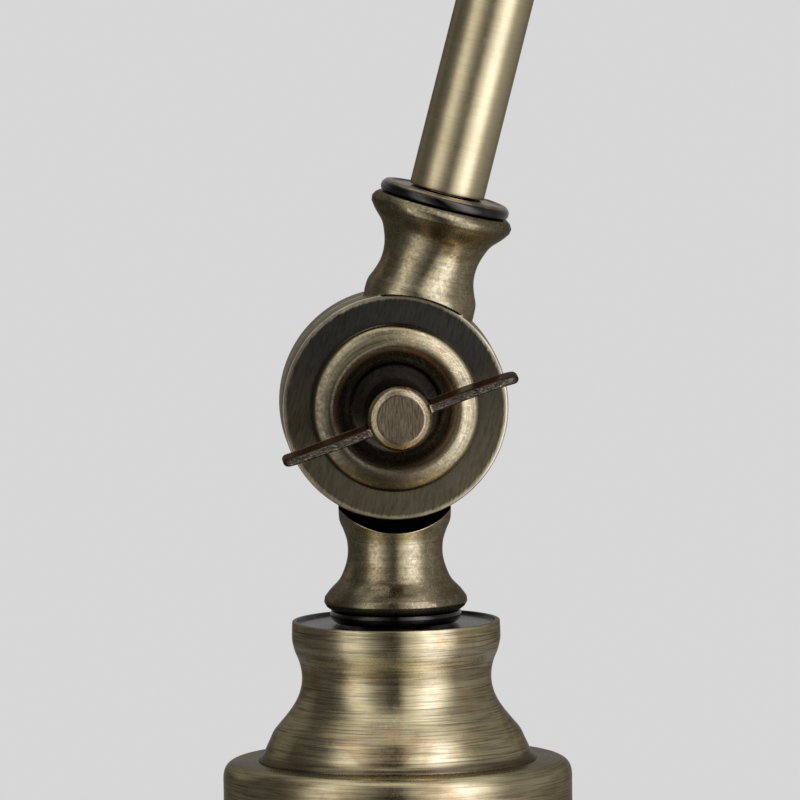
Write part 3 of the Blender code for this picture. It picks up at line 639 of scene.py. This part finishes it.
def wings():
    """Blades lofted along a shallow S, thinner outwards, with rounded tips and corners."""
    path = [np.array(p) for p in flowing(WING_PATH, 9)]
    lengths = np.concatenate(([0], np.cumsum([np.linalg.norm(b - a) for a, b in zip(path, path[1:])])))
    verts, faces, sides = [], [], WING_SIDES
    turn = np.linspace(0, 2 * math.pi, sides, endpoint=False)
    square = [(math.copysign(abs(math.cos(a)) ** WING_SQUARE, math.cos(a)),
               math.copysign(abs(math.sin(a)) ** WING_SQUARE, math.sin(a))) for a in turn]
    for i, (x, y) in enumerate(path):
        ahead, behind = path[min(i + 1, len(path) - 1)], path[max(i - 1, 0)]
        along = (ahead - behind) / np.linalg.norm(ahead - behind)
        left = min(lengths[i], lengths[-1] - lengths[i])
        short = max(WING_CORNER - left, 0.0)
        inset = WING_CORNER - math.sqrt(WING_CORNER ** 2 - short ** 2)
        end = math.sqrt(1 - (1 - max(left, 0.06) / WING_TIP) ** 2) if left < WING_TIP else 1.0
        half = WING_T * (1.06 - 0.2 * abs(x) / WING_REACH) / 2 * end
        deep = (WING_FRONT - WING_BACK) / 2 - inset
        for a, b in square:
            verts.append(((x - along[1] * a * half) * MM, (y + along[0] * a * half) * MM,
                          ((WING_FRONT + WING_BACK) / 2 + b * deep) * MM))
        if i:
            low = (i - 1) * sides
            faces += [(low + k, low + (k + 1) % sides, low + sides + (k + 1) % sides, low + sides + k)
                      for k in range(sides)]
    faces += [tuple(range(sides))[::-1], tuple(range(len(verts) - sides, len(verts)))]
    return verts, faces


HUB = [(0, -19.0), (3.7, -19.0, 0.4), (3.7, 12.9), (6.6, 12.9, 0.3), (8.1, 16.0, 0.8), (8.1, 37.3, 0.9),
       (7.5, 38.8, 1.0), (6.0, 39.7, 0.35), (0, 39.7)]
WING_SHAPE = fused([lathe(HUB, 128, closed=False), wings()], 0.2, 3)
CLAMP = [(4.4, 0), (21.1, 0, 0.15), (21.1, 0.5, 0.2), (20.8, 0.9, 0.2)] + flowing(
    [(20.8, 1.8), (20.65, 2.6), (20.2, 3.2), (19.5, 3.65), (18.6, 4.1), (17.5, 4.5), (16.4, 4.7),
     (15.2, 4.5), (14.1, 3.85), (13.0, 2.85), (12.0, 1.85), (11.2, 1.25), (10.6, 1.1)], 6) + [(4.4, 1.1)]
CAP = [(4.1, 0), (4.1, 10.4), (0, 10.4), (0, 12.1)] + flowing(
    [(0.1, 12.1), (2.7, 11.8), (5.2, 10.7), (7.2, 8.8), (8.4, 6.4), (9.0, 3.6)], 5)[1:] + [(9.0, 0, 0.4)]


def knuckle(prefix, s, fixed_body, fixed, height, moving_body, moving, screw_body):
    """The shown pieces of one tilting joint at size s: its rear half is fixed, its front half moves."""
    pivot = fixed @ Matrix.Translation((0, 0, height * MM))
    piece(f"look_{prefix}_rear_half", fixed_body, pivot @ FLIP, casting(s, -1), f"{prefix}_rear_half")
    piece(f"look_{prefix}_front_half", moving_body, moving, casting(s, 1), f"{prefix}_front_half")
    face = DISC_T * s + 0.1
    piece(f"look_{prefix}_clamp_ring", moving_body, moving @ FRONT,
          [(lathe(raised(scaled(CLAMP, s), face), 224), RING_FINISH)], f"{prefix}_clamp_ring")
    spring = [(4.2, 1.25), (7.4, 1.25, 0.2), (7.4, 2.1, 0.2), (4.2, 2.6)]
    piece(f"look_{prefix}_spring_washer", moving_body, moving @ FRONT,
          [(lathe(raised(scaled(spring, s), face), 64), FINISHES["steel"])], f"{prefix}_spring_washer")
    piece(f"look_{prefix}_wing_screw", screw_body, pivot @ FRONT,
          [(moved(WING_SHAPE, Matrix.Scale(s, 4)), cast_screw(f"{prefix}_screw_bronze", s))],
          f"{prefix}_wing_screw")
    shell = [(r * s, h * s + DISC_T * s + 0.15, *f) for r, h, *f in CAP]
    piece(f"look_{prefix}_cap_nut", fixed_body, pivot @ Matrix.Rotation(-math.pi / 2, 4, "X"),
          [(lathe(shell[::-1], 96), NUT_FINISH)], f"{prefix}_cap_nut")


knuckle("lower_knuckle", LOWER, "base", BASE, P1.z / MM, "pole", POLE, "lower_screw")
knuckle("middle_knuckle", MIDDLE, "pole", POLE, POLE_SPAN, "arm", ARM, "middle_screw")
knuckle("shade_knuckle", SHADE, "arm", ARM, ARM_SPAN, "head", HEAD, "shade_screw")

# --------------------------------------------------------- rings and tubes


def check_ring(node, s, body, at, top_finish=BEAD_FINISH):
    """Thin turned ring between a neck and its tube or collar, with a bead round its top."""
    band = flowing([(15.5, 51.45), (16.1, 51.75), (16.4, 52.4), (16.4, 53.1), (16.2, 53.7),
                    (15.9, 54.05)], 5)
    bead = flowing([(15.9, 54.05), (15.4, 54.5), (14.7, 54.7), (14.2, 54.7)], 5)
    bead += [(14.0, 54.4, 0.2), (9.0, 54.4)]
    parts = [([(5.3 / s, 51.45)] + band, CHECK_FINISH), (bead, top_finish),
             ([(9.0, 54.4), (5.3 / s, 54.4), (5.3 / s, 51.45)], SHADE_AND_GRIME_BLACK)]
    piece(f"look_{node}", body, at, [(lathe(scaled(outline, s), 192, closed=False), finish)
                                     for outline, finish in parts], node)


def at_height(matrix, height, turn=BASE):
    """A place a height in mm up another's Z, turned there."""
    return matrix @ Matrix.Translation((0, 0, height * MM)) @ turn


def tube(node, body, at, radius, low, high):
    """Brass tube from one height to another."""
    wall = [(5.3, low), (radius, low, 0.3), (radius, high, 0.3), (5.3, high)]
    piece(f"look_{node}", body, at, [(lathe(wall, 128), TUBE)], node)


check_ring("bell_check_ring", LOWER, "base", at_height(BASE, P1.z / MM, FLIP), CHECK_FINISH)
check_ring("pole_foot_ring", LOWER, "pole", POLE)
check_ring("pole_top_ring", MIDDLE, "pole", at_height(POLE, POLE_SPAN, FLIP))
check_ring("arm_foot_ring", MIDDLE, "arm", ARM)
check_ring("arm_top_ring", SHADE, "arm", at_height(ARM, ARM_SPAN, FLIP))
check_ring("shade_check_ring", SHADE, "head", HEAD)
tube("pole_tube", "pole", POLE, 9.5, SEAT * LOWER + 0.1, POLE_SPAN - SEAT * MIDDLE - 0.1)
tube("arm_tube", "arm", ARM, 8.0, SEAT * MIDDLE + 0.1, ARM_SPAN - SEAT * SHADE - 0.1)

# -------------------------------------------------------------------- head

CROWN = SEAT * SHADE + 0.1
outside = [(5.5, 0), (19.6, 0, 1.2), (22.6, 1.5, 1.4), (23.6, 5.2, 0.8)] + flowing(
    [(23.8, 9.0), (24.6, 51.0), (25.4, 56.6), (28.2, 61.8), (43.0, 74.0), (60.5, 89.0), (69.0, 100.0),
     (75.6, 112.0), (83.6, 132.0), (88.2, 146.2)], 8) + [(89.2, 148.0, 0.5), (90.6, 148.4, 0.5),
                                                         (90.6, 149.9, 0.5), (89.2, 150.6, 0.4)]
inside = [(87.2, 149.4, 0.6), (86.6, 145.0)] + flowing(
    [(82.0, 131.8), (74.2, 112.4), (67.7, 100.8), (59.4, 90.3), (42.2, 75.4), (27.2, 63.0), (24.2, 57.2),
     (23.4, 51.0), (22.5, 9.0)], 8) + [(22.3, 4.0, 1.0), (18.8, 1.1, 1.0), (5.5, 1.1)]
lid = raised(outside, CROWN)
lining = raised(inside, CROWN)
piece("look_shade", "head", HEAD, [(lathe(lid, 288, closed=False), SHADE_FINISH),
                                   (lathe([lid[-1][:2]] + lining + [lid[0][:2]], 288, closed=False),
                                    ENAMEL)], "shade")
shell = [(5.3, 1.4), (17.6, 1.4, 0.6), (19.0, 2.8, 0.6), (19.0, 53.0, 0.9), (15.2, 53.0, 0.5), (15.2, 6.0),
         (5.3, 6.0)]
piece("look_lampholder_shell", "head", HEAD, [(lathe(raised(shell, CROWN), 128),
                                               FINISHES["black_plastic"])], "lampholder_shell")
globe = flowing([(13.0, 57.9), (14.6, 62.5), (17.2, 69.0), (20.6, 76.0), (24.6, 82.6), (27.8, 89.0),
                 (29.6, 95.6), (29.8, 102.0), (28.5, 110.5), (25.2, 118.6), (20.4, 125.4), (15.0, 129.8),
                 (8.0, 132.6), (0.6, 133.4)], 6)
bulb = [(11.9, 58.2), (11.9, 40.0), (12.3, 40.0), (12.3, 57.9)] + globe + [(0, 133.4)]
piece("look_bulb_glass", "head", HEAD, [(lathe([(0, 58.2 + CROWN)] + raised(bulb, CROWN), 128,
                                               closed=False), GLASS)], "bulb_glass")
handle = [(0, -24.0), (2.1, -24.0), (2.1, -9.8), (6.0, -9.8, 0.3), (6.6, -9.0, 0.4)] + [
    (7.0, h) for h in np.linspace(-8.2, -1.6, 8)] + [(6.9, -0.8, 0.5), (6.1, 0, 0.4), (0, 0)]
knob_at = Matrix.Translation(pivots["switch_turn"]) @ HEAD.to_3x3().to_4x4() @ FRONT
piece("look_switch_knob", "switch", knob_at,
      [(lathe(handle, 192, closed=False, flutes=(24, 0.35, -8.3, -1.5)), NUT_FINISH)], "switch_knob")

# ------------------------------------------- finishes of the CAD nodes kept

slots = {}
for entry in frame["record"]["materials"]:
    for node in entry.get("nodes", []):
        slots[node] = entry["slot"]
for name, obj in frame["nodes"].items():
    if obj.hide_render:
        continue
    old = obj.data.materials[0].name.split(".")[0] if obj.data.materials else "steel"
    finish = FINISHES.get(slots.get(name, old), FINISHES["steel"])
    for index in range(len(obj.data.materials)):
        obj.material_slots[index].material = finish

# ------------------------------------------------------- floor, light, camera

FLOOR_REACH, FLOOR_LEVEL, FLOOR_GREY = 300.0, -0.0003, 0.68
WALL_RADIUS, WALL_HEIGHT, WALL_SIDES = 30.0, 20.0, 32


def staged(name, verts, faces, material):
    """An object of the stage, which shows in no reflection and casts no shadow."""
    mesh = bpy.data.meshes.new(name)
    mesh.from_pydata(verts, [], faces)
    obj = bpy.data.objects.new(name, mesh)
    scene.collection.objects.link(obj)
    mesh.materials.append(material)
    obj.visible_glossy = False
    obj.visible_shadow = False
    return obj


def add_floor():
    """Pale floor of one grey that darkens close to the lamp."""
    g = Graph("pale_floor")
    shade_near = g.node("AmbientOcclusion", {"Distance": 0.16}, samples=12).outputs["AO"]
    level = g.span(shade_near, 0.0, 1.0, 0.25, 1.0, "LINEAR")
    paper = g.node("Emission", {"Color": g.mix(level, colour(0.05, 0.05, 0.05),
                                               colour(FLOOR_GREY, FLOOR_GREY, FLOOR_GREY))})
    g.tree.links.new(paper.outputs[0], g.node("OutputMaterial").inputs[0])
    sides = ((-1, -1), (1, -1), (1, 1), (-1, 1))
    verts = [(x * FLOOR_REACH, y * FLOOR_REACH, FLOOR_LEVEL) for x, y in sides]
    floor = staged("floor", verts, [(0, 1, 2, 3)], g.material)


def add_backdrop():
    """Round wall far off, so that low views end on the floor's own grey.

    It lights nothing, and from outside it can't be seen.
    """
    g = Graph("backdrop_grey")
    grey = g.node("Emission", {"Color": colour(FLOOR_GREY, FLOOR_GREY, FLOOR_GREY)})
    seen = g.node("MixShader", {0: g.node("NewGeometry").outputs["Backfacing"], 1: grey.outputs[0],
                                2: g.node("BsdfTransparent").outputs[0]})
    g.tree.links.new(seen.outputs[0], g.node("OutputMaterial").inputs[0])
    turns = [2 * math.pi * k / WALL_SIDES for k in range(WALL_SIDES)]
    verts = [(WALL_RADIUS * math.cos(a), WALL_RADIUS * math.sin(a), h)
             for h in (FLOOR_LEVEL, WALL_HEIGHT) for a in turns]
    faces = [(k, WALL_SIDES + k, WALL_SIDES + (k + 1) % WALL_SIDES, (k + 1) % WALL_SIDES)
             for k in range(WALL_SIDES)]
    backdrop = staged("backdrop", verts, faces, g.material)
    backdrop.visible_diffuse = False
    backdrop.visible_transmission = False


CAMERA_AZIMUTH = math.radians(-2.5)
# degrees to the right of the camera's side of the lamp, and how bright the studio is there
STUDIO = [(-180, 0.3), (-150, 0.18), (-120, 0.1), (-85, 0.11), (-72, 0.2), (-66, 0.55), (-58, 1.15),
          (-44, 1.25), (-35, 0.75), (-25, 0.36), (-14, 0.17), (-8, 0.07), (3, 0.05), (8, 0.5), (14, 0.95),
          (22, 1.25), (30, 1.8), (37, 2.4), (50, 2.4), (59, 1.7), (67, 0.9), (76, 0.42), (95, 0.38),
          (120, 0.28), (150, 0.3), (180, 0.3)]
PEAK, CEILING, BOUNCE, LEAST_BOUNCE, BEHIND = 2.5, 1.0, 0.62, 0.05, 0.3


def studio_walls(g, x, y):
    """Brightness of the studio's walls by direction round the lamp."""
    azimuth = g.math("SUBTRACT", g.math("ARCTAN2", x, g.math("MULTIPLY", y, -1.0)), CAMERA_AZIMUTH)
    turn = g.math("FRACT", g.math("ADD", g.math("DIVIDE", azimuth, 2 * math.pi), 0.5))
    ramp = g.node("ValToRGB", {0: turn})
    ramp.color_ramp.interpolation = "LINEAR"
    stops = ramp.color_ramp.elements
    while len(stops) < len(STUDIO):
        stops.new(0.5)
    # every place is set before any colour
    for stop, (degrees, _) in zip(stops, STUDIO):
        stop.position = (degrees + 180) / 360
    for stop, (_, value) in zip(stops, STUDIO):
        stop.color = colour(value / PEAK, value / PEAK, value / PEAK)
    return g.math("MULTIPLY", ramp.outputs[0], PEAK)


def add_studio():
    """World light: walls, an even ceiling, light off the floor, and a faint glow behind the lamp."""
    world = bpy.data.worlds.new("studio")
    scene.world = world
    world.use_nodes = True
    world.node_tree.nodes.clear()
    g = Graph("studio", world.node_tree)
    x, y, z = g.split(g.node("TexCoord").outputs["Generated"])
    walls = studio_walls(g, x, y)
    high = g.span(z, 0.7, 0.95)
    low = g.span(z, -0.75, -0.4)
    above = g.math("ADD", g.math("MULTIPLY", walls, g.math("SUBTRACT", 1.0, high)),
                   g.math("MULTIPLY", high, CEILING))
    below = g.math("ADD", g.math("MULTIPLY", walls, BOUNCE), LEAST_BOUNCE)
    strength = g.math("ADD", g.math("MULTIPLY", above, low),
                      g.math("MULTIPLY", below, g.math("SUBTRACT", 1.0, low)))
    behind = g.math("MULTIPLY", g.span(z, 0.02, 0.14), g.span(y, 0.2, 0.75, 0.0, BEHIND))
    strength = g.math("MAXIMUM", strength, behind)
    tint = g.mix(g.span(strength, 1.2, 2.4), colour(1.0, 0.99, 0.96), colour(0.98, 0.99, 1.13))
    light = g.node("Background", {"Color": tint, "Strength": strength})
    g.tree.links.new(light.outputs[0], g.node("OutputWorld").inputs[0])


ELEVATION, DISTANCE, ROLL = math.radians(5.7), 4.0, math.radians(0.65)
LENS, SENSOR, CLIP_END = 720.0, 36.0, 1000.0
AIM_RIGHT, AIM_UP = 0.00162, 0.00095


def add_camera():
    """Long lens aimed beside the lower knuckle's pivot, rolled a little."""
    data = bpy.data.cameras.new("camera")
    data.lens, data.sensor_width = LENS, SENSOR
    data.clip_end = CLIP_END
    camera = bpy.data.objects.new("camera", data)
    scene.collection.objects.link(camera)
    level = math.cos(ELEVATION)
    back = Vector((math.sin(CAMERA_AZIMUTH) * level, -math.cos(CAMERA_AZIMUTH) * level,
                   math.sin(ELEVATION)))
    right = Vector((0, 0, 1)).cross(back).normalized()
    up = back.cross(right)
    right, up = (right * math.cos(ROLL) - up * math.sin(ROLL),
                 up * math.cos(ROLL) + right * math.sin(ROLL))
    spot = P1 + right * AIM_RIGHT + up * AIM_UP + back * DISTANCE
    camera.matrix_world = Matrix(((right.x, up.x, back.x, spot.x), (right.y, up.y, back.y, spot.y),
                                  (right.z, up.z, back.z, spot.z), (0, 0, 0, 1)))
    scene.camera = camera


add_floor()
add_backdrop()
add_studio()
add_camera()
